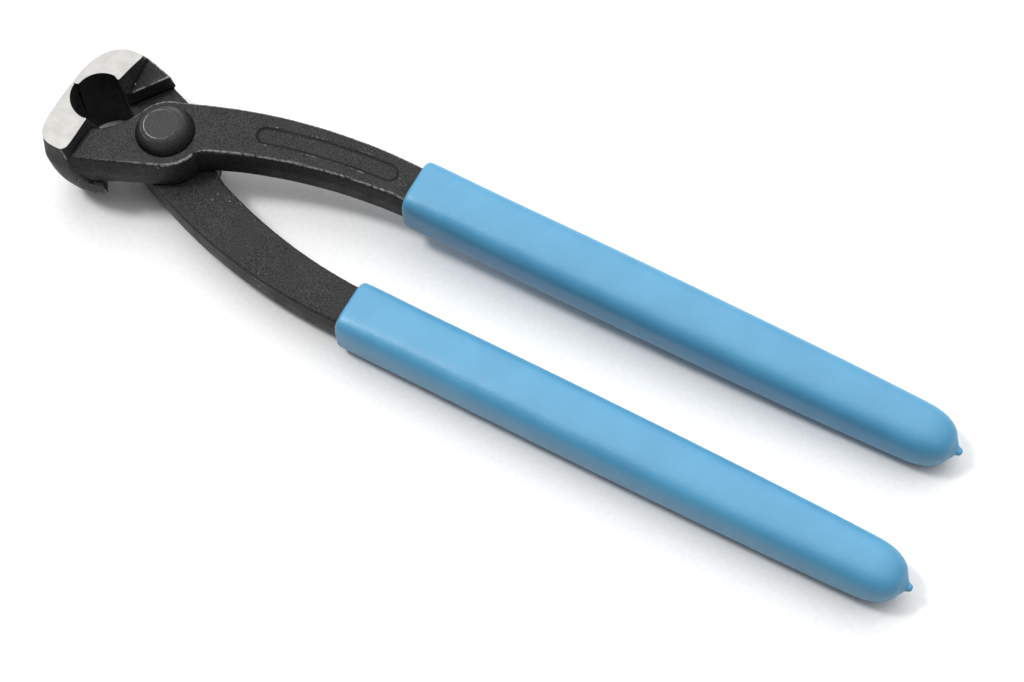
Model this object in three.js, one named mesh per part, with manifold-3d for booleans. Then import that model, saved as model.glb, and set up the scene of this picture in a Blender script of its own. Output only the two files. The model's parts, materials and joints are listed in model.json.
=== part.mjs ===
// Forged ear clamp pliers: two crossed levers lapped on one rivet, with dip-coated grips.
// X runs from the jaws to the handles, Y across the tool and Z along the rivet.
// Both levers are one forging, but for the boss and the tang: the second is turned half a turn about X.
// A lever is drawn with its plate above the lap plane, its jaw at -Y and its handle at +Y.

import * as THREE from "three";
import { mergeVertices } from "three/addons/utils/BufferGeometryUtils.js";
import Module from "manifold-3d";

const wasm = await Module();
wasm.setup();

const { lerp, degToRad, smoothstep } = THREE.MathUtils;

// Clearances, in millimetres
const lapGap = 0.3; // between the lapped faces of the two levers
const tipGap = 0.3; // between the tips of the closed jaws
const boreGap = 0.3; // round the rivet's shank
const headGap = 0.2; // under each rivet head
const gripGap = 0.3; // between a tang and its grip

// Forging: every wall leans from its parting line, which runs at half the thickness
const plateThickness = 8.4;
const armDraft = degToRad(5);
const jawDraft = degToRad(17);
const lapDraft = degToRad(1); // of every wall between its parting line and the lap plane
const jawDraftEnd = 3.8; // pivot to where the jaw's draft has turned into the arm's
const edgeRound = 0.8;
const lapEdgeRound = 0.4;
const roundSteps = 3;

// Head, measured from the pivot
const tipReach = 24.9;
const landRise = 2.5; // ground face of a jaw above the plate
const landBack = 16.6; // pivot to the back edge of the ground face
const landStepLength = 1.1; // lean of the step between ground face and plate
const landCornerRound = 2; // back corner of the ground face
const landHalfWidth = 16.4;
const landSquareness = 4.8; // exponent of the superellipse that rounds the jaw's corner
const flankHalfWidth = 17.4;
const flankSquareness = 5.6;
const flankBack = 15.2; // pivot to the end of the jaw's corner
const flankLean = Math.tan(degToRad(14.5)); // the flank draws in behind the corner
const footHalfWidth = 13.5;
const footSquareness = 2.35;
const footBulge = 3; // exponent with which the flank draws in towards the foot
const cavityRadius = 6.5; // at the lap plane
const cavityDraft = Math.tan(degToRad(2.6)); // the opening widens towards the plate's face
const cavityCentre = 17.3; // pivot to the middle of the round jaw opening
const upperBossRadius = 9.5; // plate round the rivet, on the jaw's side
const lowerBossRadius = 11.3; // the same on the other lever
const bossFarRadius = 8.8; // plate round the rivet, on the far side
const filletTurn = degToRad(-14); // where the boss leaves its circle for the arm
const throatTurn = degToRad(164); // where the boss leaves its circle for the jaw
const throatBend = 0.3; // 0 is a square throat, 0.5 a straight one
const plateRoot = 4; // how far the plate runs into the jaw

// Foot of the jaw below the lap plane: a wall, a sloped ledge and the lower ground face
const shoulderInner = new THREE.Vector2(-14.6, -6.4);
const shoulderOuter = new THREE.Vector2(-9.7, -13.6);
const ledgeDepth = 4.8; // lap plane to the edge of the ledge
const ledgeSlope = Math.tan(degToRad(15)); // fall of the ledge from its edge
const ledgeBackInner = new THREE.Vector2(-14.8, -6.7);
const ledgeBackOuter = new THREE.Vector2(-15.3, -14.8);
const footBackInner = new THREE.Vector2(-15.6, -5.8);
const footBackOuter = new THREE.Vector2(-13.8, -13.4);

// Arm and tang: an arc from the pivot, then a straight run inside the grip
const gripStart = new THREE.Vector2(57, 15.45);
const gripSplay = degToRad(0.45); // the handles part a little towards their ends
const armRadius = 130;
const armTurn = degToRad(23);
const filletShare = 0.78; // share of the arm at which the fillet from the boss ends
const shoulderShare = 0.88; // share of the arm at which the outer edge leaves for the boss
const armRootWidth = 13.4;
const armEndWidth = 10.2;
const armFall = Math.tan(degToRad(1.25)); // each arm runs back to the lap plane
const armFallStart = 18;
const tangTaper = Math.tan(degToRad(0.51)); // each side of the tang leans in
const tangCover = 8.9; // from the end of the tang to the end of its grip
const tangEndRound = 3;
const tangEndNarrowing = 1.8; // on each side, over the rounded end

// Sunk panel on the outer face of the arm
const panelStart = 6.6; // before the grip, along the arm
const panelLength = 30;
const panelWidth = 4.4;
const panelDepth = 0.35;
const panelLean = 0.25; // lean of its wall over the depth

// Rivet
const shankRadius = 4;
const headRadius = 6.9;
const headTopRadius = 4.4;
const headHeight = 3;
const headEdgeRound = 0.5;
const rearHeadHeight = 1.9;

// Grips, dipped over the tangs, each with the drip of its dipping at the end
const gripWidth = 14.3; // behind the mouth
const gripEndWidth = 13.2; // before the nose
const gripSwellWidth = 1; // how much wider the grip is at its middle
const gripFlatness = 0.92; // height over width
const gripSquareness = 3; // exponent of the superellipse section
const gripNoseRoundness = 2.5; // the same at the nose, and along it
const gripMouthThickness = 0.5; // thickness of the coat where it begins
const gripMouthRound = 1.2;
const gripMouthSquareness = 4; // of the section there
const gripMouthLength = 15; // over which that section turns into the body's
const gripNoseLength = 10.5; // length of the rounded end
const dripRadius = 2; // at its root
const dripTipRadius = 0.95;
const dripFlareLength = 0.9; // from the root to the round tip
const upperGripLength = 133.3; // mouth to the end of the nose
const lowerGripLength = 136;

// Roundness of the faceted curves
const cornerSegments = 18;
const arcSegments = 16;
const roundSegments = 48;
const armSegments = 14;
const flankLevels = 7;
const gripSegments = 36;
const swellSegments = 8;
const noseSegments = 10;
const dripSegments = 4;

// Levels worked out from the sizes above
const lapLevel = lapGap / 2;
const plateTop = lapLevel + plateThickness;
const landTop = plateTop + landRise;
const partingLevel = lapLevel + plateThickness / 2;
const farReach = 2 * tipReach; // past the head on any side, for cutting tools
const ledgeReach = 8; // past both ends of the ledge, for its cutting tool
const cutClear = 0.1; // outside a face that a cutting tool follows
const weldDistance = 1e-5;
const mitreLimit = 2; // most that a corner of an inset outline is stretched

// Solids and meshes

function solidFrom(geometry) {
  geometry.deleteAttribute("normal");
  geometry.deleteAttribute("uv");
  const merged = mergeVertices(geometry, weldDistance);
  return new wasm.Manifold(new wasm.Mesh({
    numProp: 3,
    vertProperties: new Float32Array(merged.attributes.position.array),
    triVerts: new Uint32Array(merged.index.array),
  }));
}

function meshFrom(solid, name, material) {
  const { vertProperties, triVerts } = solid.getMesh();
  const geometry = new THREE.BufferGeometry();
  geometry.setAttribute("position", new THREE.BufferAttribute(vertProperties, 3));
  geometry.setIndex(new THREE.BufferAttribute(triVerts, 1));
  geometry.computeVertexNormals();
  const mesh = new THREE.Mesh(geometry, material);
  mesh.name = name;
  return mesh;
}

// Joins rings of equal point counts into a closed solid. Each ring runs counter-clockwise as seen
// from the last ring, and flatten gives the plane in which the two end rings are filled.
function loft(rings, flatten) {
  const count = rings[0].length;
  const positions = rings.flat().flatMap((point) => point.toArray());
  const index = [];
  for (let ring = 0; ring < rings.length - 1; ring++) {
    for (let i = 0; i < count; i++) {
      const a = ring * count + i;
      const b = ring * count + (i + 1) % count;
      index.push(a, b, b + count, a, b + count, a + count);
    }
  }
  const last = (rings.length - 1) * count;
  for (const [a, b, c] of THREE.ShapeUtils.triangulateShape(rings[0].map(flatten), [])) {
    index.push(a, c, b);
  }
  for (const [a, b, c] of THREE.ShapeUtils.triangulateShape(rings.at(-1).map(flatten), [])) {
    index.push(last + a, last + b, last + c);
  }
  const geometry = new THREE.BufferGeometry();
  geometry.setAttribute("position", new THREE.Float32BufferAttribute(positions, 3));
  geometry.setIndex(index);
  return solidFrom(geometry);
}

const fromAbove = (point) => new THREE.Vector2(point.x, point.y);
const fromFront = (point) => new THREE.Vector2(point.y, point.z);

// Stacks outlines at rising heights
function stack(levels) {
  const rings = levels.map(({ z, outline }) => outline.map((p) => new THREE.Vector3(p.x, p.y, z)));
  return loft(rings, fromAbove);
}

// Moves each side of a counter-clockwise outline inwards by the distance found at its point
function insetOutline(outline, distanceAt) {
  return outline.map((point, i) => {
    const before = outline.at(i - 1);
    const after = outline[(i + 1) % outline.length];
    const inSide = point.clone().sub(before).normalize();
    const outSide = after.clone().sub(point).normalize();
    const bisector = inSide.clone().add(outSide).normalize();
    const inward = new THREE.Vector2(-bisector.y, bisector.x);
    const stretch = Math.min(1 / bisector.dot(outSide), mitreLimit);
    return inward.multiplyScalar(distanceAt(point) * stretch).add(point);
  });
}

// Heights and insets of a forged wall: draft from the parting line and a rounded edge at each face
function wallLevels(bottom, top, bottomRound, topRound) {
  const parting = (bottom + top) / 2;
  const level = (z, roundInset) => ({ z, rise: z - parting, roundInset });
  const turns = Array.from({ length: roundSteps + 1 }, (_, k) => (k / roundSteps) * (Math.PI / 2));
  const lower = turns.map((a) =>
    level(bottom + bottomRound * (1 - Math.cos(a)), bottomRound * (1 - Math.sin(a))));
  const upper = turns.map((a) =>
    level(top - topRound * (1 - Math.cos(a)), topRound * (1 - Math.sin(a)))).reverse();
  return [...lower, level(parting, 0), ...upper];
}

// Inset of a wall at a height over its parting line
function draftInset(rise, draft) {
  return rise > 0 ? rise * Math.tan(draft) : -rise * Math.tan(lapDraft);
}

// The path of arm and tang, by distance from the grip's mouth: negative on the arm's arc

function armAt(distance) {
  const heading = gripSplay + Math.max(-distance, 0) / armRadius;
  const along = new THREE.Vector2(Math.cos(heading), Math.sin(heading));
  const outward = new THREE.Vector2(-along.y, along.x);
  const mouthOutward = new THREE.Vector2(-Math.sin(gripSplay), Math.cos(gripSplay));
  const arcCentre = gripStart.clone().addScaledVector(mouthOutward, -armRadius);
  const point = distance < 0
    ? arcCentre.addScaledVector(outward, armRadius)
    : gripStart.clone().addScaledVector(along, distance);
  return { point, outward };
}

const armLength = armRadius * armTurn;
const fallAt = (x) => -armFall * Math.max(x - armFallStart, 0);

function armWidthAt(distance) {
  return distance < 0
    ? lerp(armEndWidth, armRootWidth, -distance / armLength)
    : armEndWidth - 2 * tangTaper * distance;
}

// Point and direction on the outer (1) or inner (-1) edge of the arm
function armEdge(distance, side) {
  const { point, outward } = armAt(distance);
  const along = new THREE.Vector2(outward.y, -outward.x);
  return { point: point.addScaledVector(outward, side * armWidthAt(distance) / 2), along };
}

// Lever

const cavityRadiusAt = (z) => cavityRadius + cavityDraft * z;

// Edge of the throat at a height, from the boss to the round opening
function throatCurve(z) {
  const boss = onCircle(bossFarRadius, throatTurn);
  const root = new THREE.Vector2(-cavityCentre, -cavityRadiusAt(z));
  const bend = new THREE.Vector2(lerp(boss.x, root.x, throatBend), lerp(root.y, boss.y, throatBend));
  return new THREE.QuadraticBezierCurve(boss, bend, root);
}

function onCircle(radius, turn) {
  return new THREE.Vector2(Math.cos(turn), Math.sin(turn)).multiplyScalar(radius);
}

// Angle at which a line from a point touches a circle round the pivot: before or after the point
function touchTurn(point, radius, sign) {
  return point.angle() + sign * Math.acos(radius / point.length());
}

// Where the tangent of the boss at an angle meets the line through a point along a direction
function tangentMeeting(turn, radius, point, along) {
  const outward = onCircle(1, turn);
  const reach = (radius - point.dot(outward)) / along.dot(outward);
  return point.clone().addScaledVector(along, reach);
}

// Plate round the rivet, from the jaw's root to the start of the arm
function plateOutline(bossRadius) {
  const jawCorner = new THREE.Vector2(-flankBack, -flankHalfWidth);
  const inner = armEdge(-armLength * filletShare, -1);
  const outer = armEdge(-armLength * shoulderShare, 1);
  const fillet = tangentMeeting(filletTurn, bossRadius, inner.point, inner.along);
  const throat = throatCurve(partingLevel);
  const shape = new THREE.Shape();
  shape.moveTo(jawCorner.x - plateRoot, (jawCorner.y - cavityRadius) / 2);
  shape.lineTo(jawCorner.x - plateRoot, jawCorner.y);
  shape.lineTo(jawCorner.x, jawCorner.y);
  shape.absarc(0, 0, bossRadius, touchTurn(jawCorner, bossRadius, 1), filletTurn, false);
  shape.quadraticCurveTo(fillet.x, fillet.y, inner.point.x, inner.point.y);
  shape.lineTo(outer.point.x, outer.point.y);
  shape.absarc(0, 0, bossFarRadius, touchTurn(outer.point, bossFarRadius, 1), throatTurn, false);
  shape.quadraticCurveTo(throat.v1.x, throat.v1.y, throat.v2.x, throat.v2.y);
  return shape.getPoints(arcSegments);
}

function plateSolid(bossRadius) {
  const outline = plateOutline(bossRadius);
  const draftAt = (point) => lerp(jawDraft, armDraft, smoothstep(point.x, -flankBack, -jawDraftEnd));
  const levels = wallLevels(lapLevel, plateTop, lapEdgeRound, edgeRound);
  return stack(levels.map(({ z, rise, roundInset }) => ({
    z,
    outline: insetOutline(outline, (point) => roundInset + draftInset(rise, draftAt(point))),
  })));
}

// Arm with the tang for a grip of some length, grown on all sides where it cuts that grip's bore
function armSolid(gripLength, growth) {
  const tangEnd = gripLength - tangCover + growth;
  const levels = wallLevels(lapLevel - growth, plateTop + growth, lapEdgeRound, edgeRound);
  const section = (width) => {
    const half = levels.map(({ z, rise, roundInset }) =>
      new THREE.Vector2(width / 2 + growth - roundInset - draftInset(rise, armDraft), z));
    const mirrored = half.map((p) => new THREE.Vector2(-p.x, p.y)).reverse();
    return [...half, ...mirrored];
  };
  const stations = Array.from({ length: armSegments + 1 }, (_, k) => -armLength * (1 - k / armSegments));
  stations.push(tangEnd - tangEndRound, tangEnd);
  const rings = stations.map((distance, k) => {
    const { point, outward } = armAt(distance);
    const narrowing = k === stations.length - 1 ? tangEndNarrowing : 0;
    return section(armWidthAt(distance) - 2 * narrowing).map((p) => {
      const place = point.clone().addScaledVector(outward, p.x);
      return new THREE.Vector3(place.x, place.y, p.y + fallAt(place.x));
    });
  });
  return loft(rings, fromFront);
}

// Share of the way from the parting line to the ground face above or the foot below
function shareFromParting(z) {
  return z > partingLevel
    ? (z - partingLevel) / (landTop - partingLevel)
    : (partingLevel - z) / (partingLevel + landTop);
}

function jawHalfWidth(z) {
  const share = shareFromParting(z);
  return z > partingLevel
    ? lerp(flankHalfWidth, landHalfWidth, share)
    : lerp(flankHalfWidth, footHalfWidth, share ** footBulge);
}

// Outline of the jaw at a height: widest at the parting line, squarest at the ground face
function jawOutline(z) {
  const above = z > partingLevel;
  const share = shareFromParting(z);
  const halfWidth = jawHalfWidth(z);
  const squareness = lerp(flankSquareness, above ? landSquareness : footSquareness, share);
  const mating = -tipGap / 2;
  const outline = [];
  for (let k = 0; k <= cornerSegments; k++) {
    const turn = (k / cornerSegments) * (Math.PI / 2);
    const forward = Math.cos(turn) ** (2 / squareness);
    const sideways = Math.sin(turn) ** (2 / squareness);
    outline.push(new THREE.Vector2(
      lerp(-flankBack, -tipReach, forward),
      lerp(mating, -halfWidth, sideways),
    ));
  }
  outline.push(new THREE.Vector2(0, flankBack * flankLean - halfWidth));
  outline.push(new THREE.Vector2(0, mating));
  return outline;
}

// Area behind a line across the jaw, which runs past its inner and outer end by the reach
function behindLine(inner, outer, reach) {
  const along = inner.clone().sub(outer).normalize();
  const back = new THREE.Vector2(along.y, -along.x).multiplyScalar(farReach);
  const start = outer.clone().addScaledVector(along, -reach);
  const end = inner.clone().addScaledVector(along, reach);
  return [start, start.clone().add(back), end.clone().add(back), end];
}

function jawSolid() {
  const flankHeights = Array.from({ length: flankLevels }, (_, k) =>
    lerp(-landTop, partingLevel, k / flankLevels));
  const heights = [...flankHeights, partingLevel, (partingLevel + landTop) / 2, landTop];
  const block = stack(heights.map((z) => ({ z, outline: jawOutline(z) })));
  return block.subtract(cavityTool()).subtract(landTool()).subtract(shoulderTool()).subtract(footTool());
}

// Leaves the ground face standing above the plate, with a leaning step and a rounded back corner
function landTool() {
  const past = landTop + landRise;
  const keepAt = (z) => {
    const back = -landBack + landStepLength * (landTop - z) / landRise;
    const side = -jawHalfWidth(z) - cutClear;
    const shape = new THREE.Shape();
    shape.moveTo(-farReach, side);
    shape.lineTo(back - landCornerRound, side);
    shape.absarc(back - landCornerRound, side + landCornerRound, landCornerRound, -Math.PI / 2, 0, false);
    shape.lineTo(back, farReach);
    shape.lineTo(-farReach, farReach);
    return shape.getPoints(arcSegments);
  };
  const heights = [lapLevel - lapGap, partingLevel, landTop, past];
  const keep = stack(heights.map((z) => ({ z, outline: keepAt(Math.min(z, landTop)) })));
  const corners = [[-1, -1], [1, -1], [1, 1], [-1, 1]];
  const around = corners.map(([x, y]) => new THREE.Vector2(x, y).multiplyScalar(farReach));
  return stack([lapLevel, past].map((z) => ({ z, outline: around }))).subtract(keep);
}

// Wall behind the jaw, below the lap plane
function shoulderTool() {
  const outline = behindLine(shoulderInner, shoulderOuter, farReach);
  return stack([-landTop - landRise, lapLevel].map((z) => ({ z, outline })));
}

// Sloped ledge in front of that wall, with the leaning wall of the foot below it
function footTool() {
  const along = shoulderOuter.clone().sub(shoulderInner).normalize();
  const forward = new THREE.Vector2(along.y, -along.x);
  const ledgeAt = (p) => -ledgeDepth - ledgeSlope * forward.dot(p.clone().sub(shoulderInner));
  const footBack = behindLine(footBackInner, footBackOuter, ledgeReach);
  const ledgeBack = behindLine(ledgeBackInner, ledgeBackOuter, ledgeReach);
  return loft([
    footBack.map((p) => new THREE.Vector3(p.x, p.y, -landTop - landRise)),
    footBack.map((p) => new THREE.Vector3(p.x, p.y, -landTop)),
    ledgeBack.map((p) => new THREE.Vector3(p.x, p.y, ledgeAt(p))),
  ], fromAbove);
}

// Round opening between the jaws, widening into the throat beside the rivet
function cavityTool() {
  const outlineAt = (z) => {
    const radius = cavityRadiusAt(z);
    const throat = throatCurve(z);
    const shape = new THREE.Shape();
    shape.moveTo(throat.v0.x, throat.v0.y);
    shape.lineTo(throat.v0.x, radius);
    shape.lineTo(-cavityCentre, radius);
    shape.absarc(-cavityCentre, 0, radius, Math.PI / 2, 1.5 * Math.PI, false);
    shape.quadraticCurveTo(throat.v1.x, throat.v1.y, throat.v0.x, throat.v0.y);
    return shape.getPoints(arcSegments).slice(0, -1);
  };
  return stack([-landTop - landRise, landTop + landRise].map((z) => ({ z, outline: outlineAt(z) })));
}

function boreTool() {
  const radius = shankRadius + boreGap;
  const geometry = new THREE.CylinderGeometry(radius, radius, farReach, roundSegments);
  return solidFrom(geometry.rotateX(Math.PI / 2));
}

// Long panel with round ends, sunk into the outer face of the arm
function panelTool() {
  const outlineAt = (halfWidth) => {
    const first = -panelStart - panelLength;
    const side = (sign) => Array.from({ length: armSegments + 1 }, (_, k) => {
      const { point, outward } = armAt(first + (k / armSegments) * panelLength);
      return point.clone().addScaledVector(outward, sign * halfWidth);
    });
    const cap = (distance, fromTurn) => Array.from({ length: cornerSegments - 1 }, (_, k) => {
      const { point, outward } = armAt(distance);
      const turn = fromTurn + ((k + 1) / cornerSegments) * Math.PI;
      const spoke = outward.clone().rotateAround(new THREE.Vector2(), turn);
      return point.clone().addScaledVector(spoke, halfWidth);
    });
    return [...side(-1), ...cap(-panelStart, Math.PI), ...side(1).reverse(), ...cap(first, 0)];
  };
  const ring = (z, halfWidth) => outlineAt(halfWidth).map((p) =>
    new THREE.Vector3(p.x, p.y, z + fallAt(p.x)));
  return loft([
    ring(plateTop - panelDepth, panelWidth / 2),
    ring(plateTop + panelDepth, panelWidth / 2 + 2 * panelLean),
  ], fromAbove);
}

function leverSolid(bossRadius, gripLength) {
  const forging = jawSolid().add(plateSolid(bossRadius)).add(armSolid(gripLength, 0));
  return forging.subtract(boreTool()).subtract(panelTool());
}

// Grip: an oval sleeve dipped over the tang, closed at its end

function gripSection(halfWidth, squareness) {
  const power = (value) => Math.sign(value) * Math.abs(value) ** (2 / squareness);
  return Array.from({ length: gripSegments }, (_, k) => {
    const turn = (k / gripSegments) * 2 * Math.PI;
    const point = new THREE.Vector2(power(Math.cos(turn)), power(Math.sin(turn)) * gripFlatness);
    return point.multiplyScalar(halfWidth);
  });
}

// Distances from the mouth and half widths there: lip, swelling body, round nose and drip
function gripProfile(length) {
  const mouthHalfWidth = armEndWidth / 2 + gripGap + gripMouthThickness;
  const noseStart = length - gripNoseLength;
  const profile = [];
  for (let k = 0; k < roundSteps; k++) {
    const turn = (k / roundSteps) * (Math.PI / 2);
    const halfWidth = lerp(mouthHalfWidth, gripWidth / 2, Math.sin(turn));
    profile.push([gripMouthRound * (1 - Math.cos(turn)), halfWidth]);
  }
  for (let k = 0; k < swellSegments; k++) {
    const share = k / swellSegments;
    const width = lerp(gripWidth, gripEndWidth, share) + 4 * gripSwellWidth * share * (1 - share);
    profile.push([lerp(gripMouthRound, noseStart, share), width / 2]);
  }
  for (let k = 0; k < noseSegments; k++) {
    const turn = (k / noseSegments) * (Math.PI / 2);
    const halfWidth = (gripEndWidth / 2) * Math.cos(turn) ** (2 / gripNoseRoundness);
    if (halfWidth > dripRadius) {
      profile.push([noseStart + gripNoseLength * Math.sin(turn) ** (2 / gripNoseRoundness), halfWidth]);
    }
  }
  for (let k = 0; k <= dripSegments; k++) {
    const share = k / dripSegments;
    const halfWidth = lerp(dripRadius, dripTipRadius, Math.sin(share * Math.PI / 2));
    profile.push([length + dripFlareLength * share, halfWidth]);
  }
  for (let k = 1; k < dripSegments; k++) {
    const turn = (k / dripSegments) * (Math.PI / 2);
    const reach = dripFlareLength + dripTipRadius * Math.sin(turn);
    profile.push([length + reach, dripTipRadius * Math.cos(turn)]);
  }
  return profile;
}

function gripSquarenessAt(distance, length) {
  const bodyShare = smoothstep(distance, 0, gripMouthLength);
  const noseShare = smoothstep(distance, length - 2 * gripNoseLength, length);
  return lerp(lerp(gripMouthSquareness, gripSquareness, bodyShare), gripNoseRoundness, noseShare);
}

function gripSolid(length) {
  const rings = gripProfile(length).map(([distance, halfWidth]) => {
    const { point, outward } = armAt(distance);
    return gripSection(halfWidth, gripSquarenessAt(distance, length)).map((p) => {
      const place = point.clone().addScaledVector(outward, p.x);
      return new THREE.Vector3(place.x, place.y, partingLevel + p.y + fallAt(place.x));
    });
  });
  return loft(rings, fromFront).subtract(armSolid(length, gripGap));
}

// Rivet: a shank with a tall cone head above and a low one below

function rivetSolid() {
  const seat = plateTop + headGap;
  const slope = (headRadius - headTopRadius) / headHeight;
  const rearTopRadius = headRadius - slope * rearHeadHeight;
  const profile = [
    [0, -seat - rearHeadHeight],
    [rearTopRadius - headEdgeRound, -seat - rearHeadHeight],
    [rearTopRadius + headEdgeRound * slope, -seat - rearHeadHeight + headEdgeRound],
    [headRadius, -seat],
    [shankRadius, -seat],
    [shankRadius, seat],
    [headRadius, seat],
    [headTopRadius + headEdgeRound * slope, seat + headHeight - headEdgeRound],
    [headTopRadius - headEdgeRound, seat + headHeight],
    [0, seat + headHeight],
  ].map(([radius, z]) => new THREE.Vector2(radius, z));
  const geometry = new THREE.LatheGeometry(profile, roundSegments);
  return solidFrom(geometry.rotateX(Math.PI / 2));
}

// Assembly

const blackSteel = new THREE.MeshStandardMaterial({ color: 0x2f3032, roughness: 0.55, metalness: 0.8 });
const rivetSteel = new THREE.MeshStandardMaterial({ color: 0x3a3b3d, roughness: 0.45, metalness: 0.8 });
const bluePlastic = new THREE.MeshStandardMaterial({ color: 0x5ba6d2, roughness: 0.4, metalness: 0 });

const upperHalf = new THREE.Group();
upperHalf.add(meshFrom(leverSolid(upperBossRadius, upperGripLength), "upper_lever", blackSteel));
upperHalf.add(meshFrom(gripSolid(upperGripLength), "upper_grip", bluePlastic));

const lowerHalf = new THREE.Group();
lowerHalf.rotation.x = Math.PI;
lowerHalf.add(meshFrom(leverSolid(lowerBossRadius, lowerGripLength), "lower_lever", blackSteel));
lowerHalf.add(meshFrom(gripSolid(lowerGripLength), "lower_grip", bluePlastic));

const pliers = new THREE.Group();
pliers.add(upperHalf, lowerHalf, meshFrom(rivetSolid(), "pivot_rivet", rivetSteel));

// The frame's origin lies under the middle of the tool's length, level with its lowest face
const box = new THREE.Box3().setFromObject(pliers, true);
const middle = box.getCenter(new THREE.Vector3());
pliers.position.set(-middle.x, 0, -box.min.z);

export default pliers;
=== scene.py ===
# Looks for the forged ear clamp pliers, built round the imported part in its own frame, in metres.
# The levers, the grips and the rivet are finer copies of the CAD solids, with softened edges.

import json
import math

import bmesh
import bpy
import numpy as np
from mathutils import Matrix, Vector, noise
from mathutils.geometry import intersect_ray_tri


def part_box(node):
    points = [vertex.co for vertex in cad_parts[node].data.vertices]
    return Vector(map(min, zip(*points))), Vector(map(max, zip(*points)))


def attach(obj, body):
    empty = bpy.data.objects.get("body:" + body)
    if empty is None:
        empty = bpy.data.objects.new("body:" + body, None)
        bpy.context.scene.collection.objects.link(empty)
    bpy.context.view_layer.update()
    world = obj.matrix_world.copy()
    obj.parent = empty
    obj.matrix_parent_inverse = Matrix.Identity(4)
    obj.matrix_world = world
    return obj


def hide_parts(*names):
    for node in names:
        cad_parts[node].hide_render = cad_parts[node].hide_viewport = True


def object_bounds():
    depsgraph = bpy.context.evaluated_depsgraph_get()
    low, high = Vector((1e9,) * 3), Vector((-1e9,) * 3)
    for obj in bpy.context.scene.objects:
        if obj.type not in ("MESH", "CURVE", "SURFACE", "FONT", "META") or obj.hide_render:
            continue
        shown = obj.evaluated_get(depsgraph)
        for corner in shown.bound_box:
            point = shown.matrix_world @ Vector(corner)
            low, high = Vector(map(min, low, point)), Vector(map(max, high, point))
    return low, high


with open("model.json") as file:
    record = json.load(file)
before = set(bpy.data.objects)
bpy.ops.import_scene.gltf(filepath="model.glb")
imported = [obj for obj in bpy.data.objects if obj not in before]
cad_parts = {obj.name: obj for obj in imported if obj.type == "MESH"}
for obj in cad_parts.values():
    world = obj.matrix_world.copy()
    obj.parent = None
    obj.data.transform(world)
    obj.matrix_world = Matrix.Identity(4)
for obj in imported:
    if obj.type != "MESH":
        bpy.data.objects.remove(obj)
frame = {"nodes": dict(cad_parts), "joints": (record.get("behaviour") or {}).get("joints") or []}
cad_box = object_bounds()

MM = 0.001
WELD = 1e-7

# Levers
FORGED_VOXEL = 0.25 * MM  # grid on which a forging is remeshed
FORGED_SMOOTHING = 8  # passes that round its edges
UNEVEN_DEPTH = 0.03 * MM  # waves that the hammer dies leave on the faces
UNEVEN_LENGTH = 5 * MM
GRIND_SPARE = 0.8 * MM  # left on the jaws' outer faces until the edges are rounded
TIP_THICKNESS = 1.3 * MM  # of the jaws where their tips meet
TIP_DEPTH = 1 * MM  # reach of the closing at each tip
TIP_GAP = 0.02 * MM  # left between them
# Edges get their full worn colour and painted highlight, hollows their full painted shade, at this
# curvature.
FULL_CURVE = 1 / (1.1 * MM)  # curvature of a fully worn edge or a full hollow
# Edges near the lap and in the jaw opening get neither the worn colour nor the painted highlight.
LAP_SHELTER = 1.2 * MM  # edges this close to the lap are out of reach and keep their scale
MOUTH_START = 9 * MM  # the jaw opening, measured from the pivot, whose edges keep it too
MOUTH_HALF_WIDTH = 7 * MM

# Grips
GRIP_SUBDIVISION = 2
GRIP_END_DEPTH = 1 * MM  # of the slice taken as a grip's mouth or end
GRIP_NOSE = 6 * MM  # end of a grip that its bore doesn't reach
BORE_HUG = 0.24 * MM  # how far the coat closes in on its tang
MOUTH_FACING = -0.97  # faces that look this straight out of the mouth are its rim

# Rivet
RIVET_RIM = 0.8 * MM  # height of the bevelled rim of each head
RIVET_BEVEL = 0.2 * MM
RIVET_BEVEL_STEPS = 3
RIVET_EDGE = math.radians(15)  # sharper edges than this are bevelled
RIVET_FLAT = math.radians(1)  # facets that meet flatter than this are joined
RIVET_HEAD = 3 * MM  # height over which the lean fades
RIVET_LEAN = Vector((-0.5, -0.27, 0)) * MM  # the upper head was closed a little off centre
RIVET_WOBBLE = 0.06 * MM
RIVET_WOBBLE_LENGTH = 4 * MM

# Camera: the photograph's viewpoint
IMAGE_WIDTH = 1024
FOCAL_PIXELS = 1924.5
SENSOR_WIDTH = 36
CAMERA_FROM_PIVOT = Vector((180.14, -167.11, 387.44)) * MM
CAMERA_ELEVATION = math.radians(64.69)
CAMERA_AZIMUTH = math.radians(28.24)
CAMERA_NEAR = 10 * MM  # nothing closer is drawn

# Floor
FLOOR_SIZE = 24
FLOOR_SEGMENTS = 8
FLOOR_GAP = 0.05 * MM
FLOOR_FACING = -0.9  # the face that the part lies on looks down at least this straight

# Light: a white tent, brightest behind and above and dark in front, with one soft lamp to the left
TENT_STRENGTH = 3.3
TENT_FALL = 3  # power with which it darkens away from its brightest side
TENT_BRIGHTEST = Vector((-0.1, 0.42, 0.9)).normalized()
LAMP_PLACE = Vector((-0.52, -0.14, 0.9))
LAMP_SIZE = 0.22
LAMP_POWER = 5.5

# Colours, the darker and the lighter of each pair
FORGED_SCALE = ((0.007, 0.007, 0.0073), (0.034, 0.034, 0.035))
RIVET_SCALE = ((0.025, 0.025, 0.026), (0.044, 0.044, 0.045))
GROUND_STEEL = ((0.31, 0.303, 0.288), (0.365, 0.358, 0.344))
VINYL = ((0.066, 0.245, 0.405), (0.073, 0.265, 0.432))
PAPER = ((0.74, 0.74, 0.74), (0.77, 0.77, 0.77))
# Worn metal on the edges and in flecks; on the edges this light colour is also a painted highlight.
BARE_STEEL_AND_RIM_HIGHLIGHT = (0.42, 0.41, 0.395)
# Painted shade: the near-black that darkens the hollows.
HOLLOW_SHADE = (0.002, 0.002, 0.002)

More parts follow.
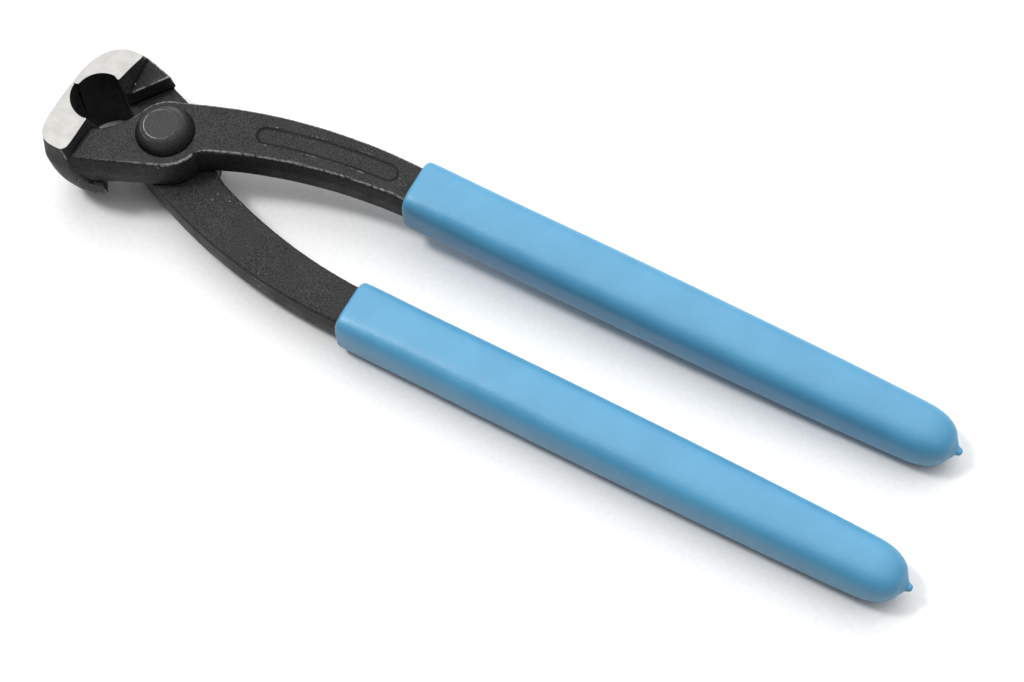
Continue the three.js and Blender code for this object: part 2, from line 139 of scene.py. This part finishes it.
# Surfaces: sizes and depths of their patterns, and the ranges of noise that show
NOISE_RANGE = (0.3, 0.7)
GRAIN_SIZE = 0.3 * MM
GRAIN_RANGE = (0.36, 0.64)
DENT_SIZE = 2.2 * MM
DENT_TO_GRAIN = 2  # depth of the dents, in grain depths
SHEEN_SIZE = 7 * MM
SHEEN_RANGE = (0.35, 0.65)
SHEEN_SPREAD = 0.06  # of the roughness, either way
# Patches along the edges, which are worn and lightened as a painted highlight.
RIM_PATCH_SIZE = 0.9 * MM
RIM_PATCH_RANGE = (0.34, 0.56)
RIM_PATCH_STRENGTH = (0.08, 0.72)
WEAR_AND_HIGHLIGHT_RANGE = (0.46, 0.74)
# How deep into a hollow the painted shade starts and how dark it gets.
HOLLOW_SHADE_RANGE = (0.08, 0.4)
HOLLOW_SHADE_STRENGTH = (0, 0.9)
FLECK_SIZE = 0.7 * MM
FLECK_EDGE = 0.03
FLECK_PATCH_SIZE = 11 * MM
FLECK_PATCH_RANGE = (0.52, 0.68)
BARE_AND_RIM_HIGHLIGHT_METALLIC = 0.35
SCALE_SPECULAR = 0.13
GRIND_LINE_SIZE = 0.25 * MM
GRIND_LINE_STRETCH = (0.05, 1, 1)
GRIND_LINE_DEPTH = 0.012 * MM
GRIND_CLOUD_SIZE = 3 * MM
GROUND_ROUGHNESS = (0.32, 0.48)
GROUND_METALLIC = 0.4
SKIN_SIZE = 0.45 * MM
SKIN_DEPTH = 0.05 * MM
RUN_SIZE = 9 * MM
RUN_DEPTH = 0.15 * MM
VINYL_ROUGHNESS = (0.3, 0.42)
VINYL_SPECULAR = 0.4
FIBRE_SIZE = 1.2 * MM
FIBRE_DEPTH = 0.03 * MM
PAPER_ROUGHNESS = 0.9
MIX_FIRST, MIX_SECOND, MIX_RESULT = 6, 7, 2  # the colour sockets of a Mix node

pivot = Vector(frame["joints"][0]["pos_m"])


# Meshes

def bmesh_of_node(node):
    mesh = bmesh.new()
    mesh.from_mesh(frame["nodes"][node].data)
    bmesh.ops.remove_doubles(mesh, verts=mesh.verts, dist=WELD)
    return mesh


def object_from(mesh, name):
    data = bpy.data.meshes.new(name)
    mesh.to_mesh(data)
    mesh.free()
    piece = bpy.data.objects.new(name, data)
    bpy.context.scene.collection.objects.link(piece)
    return piece


def apply_modifiers(piece):
    depsgraph = bpy.context.evaluated_depsgraph_get()
    data = bpy.data.meshes.new_from_object(piece.evaluated_get(depsgraph))
    piece.modifiers.clear()
    old = piece.data
    piece.data = data
    bpy.data.meshes.remove(old)


def vectors_of(items, name):
    values = np.empty(len(items) * 3)
    items.foreach_get(name, values)
    return values.reshape(-1, 3)


def keep_inside(data):
    """Trims the hundredths of a millimetre that unevenness adds past the CAD box."""
    low, high = (np.array(corner) for corner in cad_box)
    trimmed = np.clip(vectors_of(data.vertices, "co"), low, high)
    data.vertices.foreach_set("co", trimmed.ravel())
    data.update()


def dress(piece, node, body, materials):
    """Puts a finished piece in the place of its CAD node."""
    keep_inside(piece.data)
    for material in materials:
        piece.data.materials.append(material)
    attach(piece, body)
    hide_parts(node)


def make_uneven(mesh, depth, length):
    for vert in mesh.verts:
        vert.co += vert.normal * depth * noise.noise(vert.co / length)


def store_edges(data):
    """Writes how far each point lies on an edge, drawn worn and lightened as a painted highlight, and in a
    hollow, darkened as painted shade, from 0 to 1, as two attributes.
    """
    count = len(data.vertices)
    places = vectors_of(data.vertices, "co")
    normals = vectors_of(data.vertex_normals, "vector")
    ends = np.empty(len(data.edges) * 2, dtype=np.int64)
    data.edges.foreach_get("vertices", ends)
    first, second = ends.reshape(-1, 2).T
    links = np.bincount(first, minlength=count) + np.bincount(second, minlength=count)

    def mean_over_links(at_first, at_second):
        total = np.bincount(first, at_first, count) + np.bincount(second, at_second, count)
        return total / np.maximum(links, 1)

    step = places[second] - places[first]
    length_squared = np.maximum((step ** 2).sum(1), WELD ** 2)
    bend_first = -2 * (step * normals[first]).sum(1) / length_squared
    bend_second = 2 * (step * normals[second]).sum(1) / length_squared
    bend = mean_over_links(bend_first, bend_second) / FULL_CURVE
    # Convex edges: worn, and lightened as a painted highlight.
    wear_and_highlight = np.clip(bend, 0, 1)
    # Concave hollows: darkened later as painted shade.
    hollow = np.clip(-bend, 0, 1)
    wear_and_highlight = mean_over_links(wear_and_highlight[second], wear_and_highlight[first])
    hollow = mean_over_links(hollow[second], hollow[first])
    from_lap = np.abs(places[:, 2] - pivot.z)
    wear_and_highlight *= np.clip(from_lap / LAP_SHELTER - 1, 0, 1)
    in_mouth = (places[:, 0] < pivot.x - MOUTH_START) & (np.abs(places[:, 1]) < MOUTH_HALF_WIDTH)
    wear_and_highlight[in_mouth] = 0
    for name, values in (("rim_wear_and_highlight", wear_and_highlight), ("hollow", hollow)):
        attribute = data.attributes.new(name, "FLOAT", "POINT")
        attribute.data.foreach_set("value", values.astype(np.float32))


# Levers

def grind(mesh, height, upward):
    """Cuts the jaw flat at a height and fills the cut with a face of the second material."""
    everything = mesh.verts[:] + mesh.edges[:] + mesh.faces[:]
    cut = bmesh.ops.bisect_plane(mesh, geom=everything, plane_co=(0, 0, height),
                                 plane_no=(0, 0, upward), clear_outer=True)
    rim = [item for item in cut["geom_cut"] if isinstance(item, bmesh.types.BMEdge)]
    for edge in rim:
        edge.smooth = False
    return bmesh.ops.edgeloop_fill(mesh, edges=rim, mat_nr=1)["faces"]


def add_spare(mesh, low, high):
    """Stretches the jaw's outer faces, so that the rounding of their edges is ground away later."""
    for vert in mesh.verts:
        if vert.co.z > high - WELD:
            vert.co.z += GRIND_SPARE
        elif vert.co.z < low + WELD:
            vert.co.z -= GRIND_SPARE


def close_tip(mesh, front):
    """Brings the jaw's tip up to the other one, with only a hair between them."""
    tip = [vert for vert in mesh.verts
           if abs(vert.co.y) < TIP_DEPTH and vert.co.x < front + TIP_THICKNESS]
    nearest = min(abs(vert.co.y) for vert in tip)
    closing = nearest - TIP_GAP / 2
    for vert in tip:
        share = 1 - (abs(vert.co.y) - nearest) / TIP_DEPTH
        vert.co.y -= math.copysign(closing * share, vert.co.y)


def lever(node, body, materials):
    low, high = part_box(node)
    rough = bmesh_of_node(node)
    add_spare(rough, low.z, high.z)
    piece = object_from(rough, node + "_forging")
    remesh = piece.modifiers.new("even grid", "REMESH")
    remesh.mode = "VOXEL"
    remesh.voxel_size = FORGED_VOXEL
    soften = piece.modifiers.new("rounded edges", "SMOOTH")
    soften.iterations = FORGED_SMOOTHING
    apply_modifiers(piece)
    mesh = bmesh.new()
    mesh.from_mesh(piece.data)
    close_tip(mesh, low.x)
    make_uneven(mesh, UNEVEN_DEPTH, UNEVEN_LENGTH)
    for face in mesh.faces:
        face.smooth = True
    for height, upward in ((high.z, 1), (low.z, -1)):
        for face in grind(mesh, height, upward):
            face.smooth = False
    mesh.normal_update()
    mesh.to_mesh(piece.data)
    mesh.free()
    store_edges(piece.data)
    dress(piece, node, body, materials)


# Grips

def is_bore(face, start, along):
    """True for the faces of a grip's inside and of the rim at its mouth."""
    if face.normal.dot(along) < MOUTH_FACING:
        return True
    reach = face.calc_center_median() - start
    outward = reach - along * reach.dot(along)
    return face.normal.dot(outward) < 0


def grip_axis(mesh, low, high):
    """The middle of a grip's mouth, and the direction from there to its end."""
    mouth = [vert.co for vert in mesh.verts if vert.co.x < low.x + GRIP_END_DEPTH]
    end = [vert.co for vert in mesh.verts if vert.co.x > high.x - GRIP_END_DEPTH]
    start = sum(mouth, Vector()) / len(mouth)
    return start, (sum(end, Vector()) / len(end) - start).normalized()


def outer_coat(mesh, bore_faces, name):
    """The outside of a grip, smoothed and left open at the mouth."""
    bmesh.ops.delete(mesh, geom=bore_faces, context="FACES")
    bmesh.ops.join_triangles(mesh, faces=mesh.faces, angle_face_threshold=math.pi,
                             angle_shape_threshold=math.pi)
    piece = object_from(mesh, name)
    rounding = piece.modifiers.new("rounded", "SUBSURF")
    rounding.levels = GRIP_SUBDIVISION
    apply_modifiers(piece)
    return piece


def bore_lining(mesh, other_faces):
    """The inside of a grip, closed in on its tang."""
    bmesh.ops.delete(mesh, geom=other_faces, context="FACES")
    mesh.normal_update()
    for vert in mesh.verts:
        vert.co += vert.normal * BORE_HUG
    lining = bpy.data.meshes.new("lining")
    mesh.to_mesh(lining)
    mesh.free()
    return lining


def join_at_mouth(piece, lining):
    """Adds the lining to the coat and bridges the two rims at the mouth."""
    whole = bmesh.new()
    whole.from_mesh(piece.data)
    whole.from_mesh(lining)
    bpy.data.meshes.remove(lining)
    bmesh.ops.bridge_loops(whole, edges=[edge for edge in whole.edges if edge.is_boundary])
    bmesh.ops.recalc_face_normals(whole, faces=whole.faces)
    for face in whole.faces:
        face.smooth = True
    whole.to_mesh(piece.data)
    whole.free()


def grip(node, body, materials):
    mesh = bmesh_of_node(node)
    mesh.normal_update()
    low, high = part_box(node)
    start, along = grip_axis(mesh, low, high)

    def in_bore(face):
        return face.calc_center_median().x < high.x - GRIP_NOSE and is_bore(face, start, along)

    def on_rim(face):
        depth = (face.calc_center_median() - start).dot(along)
        return face.normal.dot(along) < MOUTH_FACING and depth < GRIP_END_DEPTH

    bore = mesh.copy()
    bore.normal_update()
    piece = outer_coat(mesh, [face for face in mesh.faces if in_bore(face)], node + "_coat")
    lining = bore_lining(bore, [face for face in bore.faces if not in_bore(face) or on_rim(face)])
    join_at_mouth(piece, lining)
    dress(piece, node, body, materials)


# Rivet

def rivet(node, body, materials):
    low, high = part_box(node)
    mesh = bmesh_of_node(node)
    bmesh.ops.dissolve_limit(mesh, angle_limit=RIVET_FLAT, verts=mesh.verts, edges=mesh.edges)

    def on_rim(vert):
        return vert.co.z > high.z - RIVET_RIM or vert.co.z < low.z + RIVET_RIM

    edges = [edge for edge in mesh.edges
             if edge.calc_face_angle(0) > RIVET_EDGE and all(on_rim(vert) for vert in edge.verts)]
    bmesh.ops.bevel(mesh, geom=edges, offset=RIVET_BEVEL, segments=RIVET_BEVEL_STEPS, profile=0.5,
                    affect="EDGES", clamp_overlap=True)
    for vert in mesh.verts:
        vert.co += RIVET_LEAN * max(0, 1 - (high.z - vert.co.z) / RIVET_HEAD)
    mesh.normal_update()
    make_uneven(mesh, RIVET_WOBBLE, RIVET_WOBBLE_LENGTH)
    for face in mesh.faces:
        face.smooth = True
    piece = object_from(mesh, node + "_head")
    store_edges(piece.data)
    dress(piece, node, body, materials)


# Material nodes

def new_material(name):
    material = bpy.data.materials.new(name)
    material.use_nodes = True
    tree = material.node_tree
    return material, tree, tree.nodes["Principled BSDF"].inputs


def noise_of(tree, size, detail, stretch=(1, 1, 1)):
    """Noise whose patches are about size metres across, stretched by the shares given."""
    place = tree.nodes.new("ShaderNodeTexCoord")
    mapping = tree.nodes.new("ShaderNodeMapping")
    mapping.inputs["Scale"].default_value = stretch
    texture = tree.nodes.new("ShaderNodeTexNoise")
    texture.inputs["Scale"].default_value = 1 / size
    texture.inputs["Detail"].default_value = detail
    tree.links.new(place.outputs["Object"], mapping.inputs["Vector"])
    tree.links.new(mapping.outputs["Vector"], texture.inputs["Vector"])
    return texture.outputs["Fac"]


def attribute_of(tree, name):
    node = tree.nodes.new("ShaderNodeAttribute")
    node.attribute_name = name
    return node.outputs["Fac"]


def remap(tree, value, low, high, new_low=0.0, new_high=1.0):
    node = tree.nodes.new("ShaderNodeMapRange")
    node.interpolation_type = "SMOOTHSTEP"
    for name, number in (("From Min", low), ("From Max", high), ("To Min", new_low), ("To Max", new_high)):
        node.inputs[name].default_value = number
    tree.links.new(value, node.inputs["Value"])
    return node.outputs["Result"]


def combine(tree, operation, first, second):
    """Joins a socket with another socket or with a fixed number."""
    node = tree.nodes.new("ShaderNodeMath")
    node.operation = operation
    tree.links.new(first, node.inputs[0])
    if isinstance(second, (int, float)):
        node.inputs[1].default_value = second
    else:
        tree.links.new(second, node.inputs[1])
    return node.outputs["Value"]


def blend(tree, share, first, second):
    """Mixes two colours, each a socket or a fixed colour, by a share from 0 to 1."""
    node = tree.nodes.new("ShaderNodeMix")
    node.data_type = "RGBA"
    tree.links.new(share, node.inputs["Factor"])
    for socket, colour in ((node.inputs[MIX_FIRST], first), (node.inputs[MIX_SECOND], second)):
        if isinstance(colour, tuple):
            socket.default_value = (*colour, 1)
        else:
            tree.links.new(colour, socket)
    return node.outputs[MIX_RESULT]


def bump(tree, height, depth, under=None):
    node = tree.nodes.new("ShaderNodeBump")
    node.inputs["Distance"].default_value = depth
    tree.links.new(height, node.inputs["Height"])
    if under:
        tree.links.new(under, node.inputs["Normal"])
    return node.outputs["Normal"]


# Materials

def black_steel(name, scale_colours, roughness, grain_depth, flecks):
    """Blackened steel: grainy scale, darkened in hollows as painted shade, worn to the metal in scattered
    flecks and along its edges, whose light colour also stands for a painted highlight.
    """
    material, tree, inputs = new_material(name)
    grain = noise_of(tree, GRAIN_SIZE, 4)
    rim_patches = remap(tree, noise_of(tree, RIM_PATCH_SIZE, 4), *RIM_PATCH_RANGE, *RIM_PATCH_STRENGTH)
    # Edges lightened by real wearing and by a painted highlight.
    worn_and_lit_edges = combine(tree, "MULTIPLY", remap(tree, attribute_of(tree, "rim_wear_and_highlight"), *WEAR_AND_HIGHLIGHT_RANGE), rim_patches)
    sparse = remap(tree, noise_of(tree, FLECK_SIZE, 1), 1 - flecks, 1 - flecks + FLECK_EDGE)
    patches = remap(tree, noise_of(tree, FLECK_PATCH_SIZE, 2), *FLECK_PATCH_RANGE)
    bare_and_rim_highlight = combine(tree, "MAXIMUM", worn_and_lit_edges, combine(tree, "MULTIPLY", sparse, patches))
    scale = blend(tree, remap(tree, grain, *GRAIN_RANGE), *scale_colours)
    # Painted shade: hollows darkened towards near-black.
    hollow_shade = remap(tree, attribute_of(tree, "hollow"), *HOLLOW_SHADE_RANGE, *HOLLOW_SHADE_STRENGTH)
    shaded_scale = blend(tree, hollow_shade, scale, HOLLOW_SHADE)
    tree.links.new(blend(tree, bare_and_rim_highlight, shaded_scale, BARE_STEEL_AND_RIM_HIGHLIGHT), inputs["Base Color"])
    tree.links.new(remap(tree, bare_and_rim_highlight, 0, 1, 0, BARE_AND_RIM_HIGHLIGHT_METALLIC), inputs["Metallic"])
    sheen = remap(tree, noise_of(tree, SHEEN_SIZE, 3), *SHEEN_RANGE,
                  roughness - SHEEN_SPREAD, roughness + SHEEN_SPREAD)
    tree.links.new(sheen, inputs["Roughness"])
    pits = bump(tree, grain, grain_depth)
    dents = bump(tree, noise_of(tree, DENT_SIZE, 3), DENT_TO_GRAIN * grain_depth, pits)
    tree.links.new(dents, inputs["Normal"])
    inputs["Specular IOR Level"].default_value = SCALE_SPECULAR
    return material


def ground_steel():
    """Bright jaw faces with the fine straight lines of a grinding wheel."""
    material, tree, inputs = new_material("ground_steel")
    lines = noise_of(tree, GRIND_LINE_SIZE, 3, GRIND_LINE_STRETCH)
    clouds = remap(tree, noise_of(tree, GRIND_CLOUD_SIZE, 3), *NOISE_RANGE)
    tree.links.new(blend(tree, clouds, *GROUND_STEEL), inputs["Base Color"])
    tree.links.new(remap(tree, lines, *NOISE_RANGE, *GROUND_ROUGHNESS), inputs["Roughness"])
    tree.links.new(bump(tree, lines, GRIND_LINE_DEPTH), inputs["Normal"])
    inputs["Metallic"].default_value = GROUND_METALLIC
    return material


def grip_coating():
    """Dipped vinyl: satin, with a fine skin and slow waves where the coat ran."""
    material, tree, inputs = new_material("grip_coating")
    skin = noise_of(tree, SKIN_SIZE, 3)
    runs = noise_of(tree, RUN_SIZE, 2)
    tree.links.new(blend(tree, remap(tree, runs, *NOISE_RANGE), *VINYL), inputs["Base Color"])
    tree.links.new(remap(tree, skin, *NOISE_RANGE, *VINYL_ROUGHNESS), inputs["Roughness"])
    waves = bump(tree, runs, RUN_DEPTH)
    tree.links.new(bump(tree, skin, SKIN_DEPTH, waves), inputs["Normal"])
    inputs["Specular IOR Level"].default_value = VINYL_SPECULAR
    return material


def floor_paper():
    """Pale, faintly fibrous floor."""
    material, tree, inputs = new_material("floor_paper")
    fibres = noise_of(tree, FIBRE_SIZE, 3)
    tree.links.new(blend(tree, remap(tree, fibres, *NOISE_RANGE), *PAPER), inputs["Base Color"])
    tree.links.new(bump(tree, fibres, FIBRE_DEPTH), inputs["Normal"])
    inputs["Roughness"].default_value = PAPER_ROUGHNESS
    return material


# Stage

def middle_of_mass():
    """Roughly where the part balances: the middle of each solid's points, weighted by its volume."""
    total = 0
    middle = Vector()
    for node in frame["nodes"]:
        solid = bmesh_of_node(node)
        volume = solid.calc_volume()
        middle += sum((vert.co for vert in solid.verts), Vector()) / len(solid.verts) * volume
        total += volume
        solid.free()
    return middle / total


def resting_face():
    """Middle and outward normal of the hull's face that the part lies on, below its middle of mass."""
    middle = middle_of_mass()
    hull = bmesh.new()
    for node in frame["nodes"].values():
        hull.from_mesh(node.data)
    bmesh.ops.remove_doubles(hull, verts=hull.verts, dist=WELD)
    bmesh.ops.convex_hull(hull, input=hull.verts)
    hull.normal_update()
    for face in hull.faces:
        corners = [vert.co for vert in face.verts]
        if face.normal.z < FLOOR_FACING and intersect_ray_tri(*corners, face.normal, middle):
            return face.calc_center_median(), face.normal.copy()
    raise RuntimeError("no face of the hull carries the part")


def floor():
    place, down = resting_face()
    mesh = bmesh.new()
    bmesh.ops.create_grid(mesh, x_segments=FLOOR_SEGMENTS, y_segments=FLOOR_SEGMENTS,
                          size=FLOOR_SIZE / 2)
    sheet = object_from(mesh, "floor")
    sheet.rotation_euler = (-down).to_track_quat("Z", "Y").to_euler()
    sheet.location = place + down * FLOOR_GAP
    sheet.data.materials.append(floor_paper())


def tent():
    world = bpy.data.worlds.new("white_tent")
    world.use_nodes = True
    tree = world.node_tree
    direction = tree.nodes.new("ShaderNodeTexCoord")
    facing = tree.nodes.new("ShaderNodeVectorMath")
    facing.operation = "DOT_PRODUCT"
    facing.inputs[1].default_value = TENT_BRIGHTEST
    tree.links.new(direction.outputs["Generated"], facing.inputs[0])
    lit = combine(tree, "MAXIMUM", facing.outputs["Value"], 0)
    fallen = combine(tree, "POWER", lit, TENT_FALL)
    background = tree.nodes["Background"].inputs
    background["Color"].default_value = (1, 1, 1, 1)
    tree.links.new(combine(tree, "MULTIPLY", fallen, TENT_STRENGTH), background["Strength"])
    bpy.context.scene.world = world
    bpy.context.scene.view_settings.view_transform = "Standard"


def lamp():
    light = bpy.data.lights.new("soft_lamp", "AREA")
    light.shape = "DISK"
    light.size = LAMP_SIZE
    light.energy = LAMP_POWER
    stand = bpy.data.objects.new("soft_lamp", light)
    stand.location = LAMP_PLACE
    stand.rotation_euler = (-LAMP_PLACE).to_track_quat("-Z", "Y").to_euler()
    bpy.context.scene.collection.objects.link(stand)


def camera():
    data = bpy.data.cameras.new("photo_view")
    data.sensor_fit = "HORIZONTAL"
    data.sensor_width = SENSOR_WIDTH
    data.lens = SENSOR_WIDTH * FOCAL_PIXELS / IMAGE_WIDTH
    data.clip_start = CAMERA_NEAR
    view = bpy.data.objects.new("photo_view", data)
    view.location = pivot + CAMERA_FROM_PIVOT
    view.rotation_euler = (math.pi / 2 - CAMERA_ELEVATION, 0, CAMERA_AZIMUTH)
    bpy.context.scene.collection.objects.link(view)
    bpy.context.scene.camera = view


# Assembly

camera()
tent()
lamp()
floor()

forged = black_steel("forged_steel", FORGED_SCALE, roughness=0.5, grain_depth=0.05 * MM, flecks=0.275)
turned = black_steel("rivet_steel", RIVET_SCALE, roughness=0.4, grain_depth=0.015 * MM, flecks=0.26)
bright = ground_steel()
vinyl = grip_coating()

for half in ("upper", "lower"):
    lever(half + "_lever", half + "_half", [forged, bright])
    grip(half + "_grip", half + "_half", [vinyl])
rivet("pivot_rivet", "upper_half", [turned])
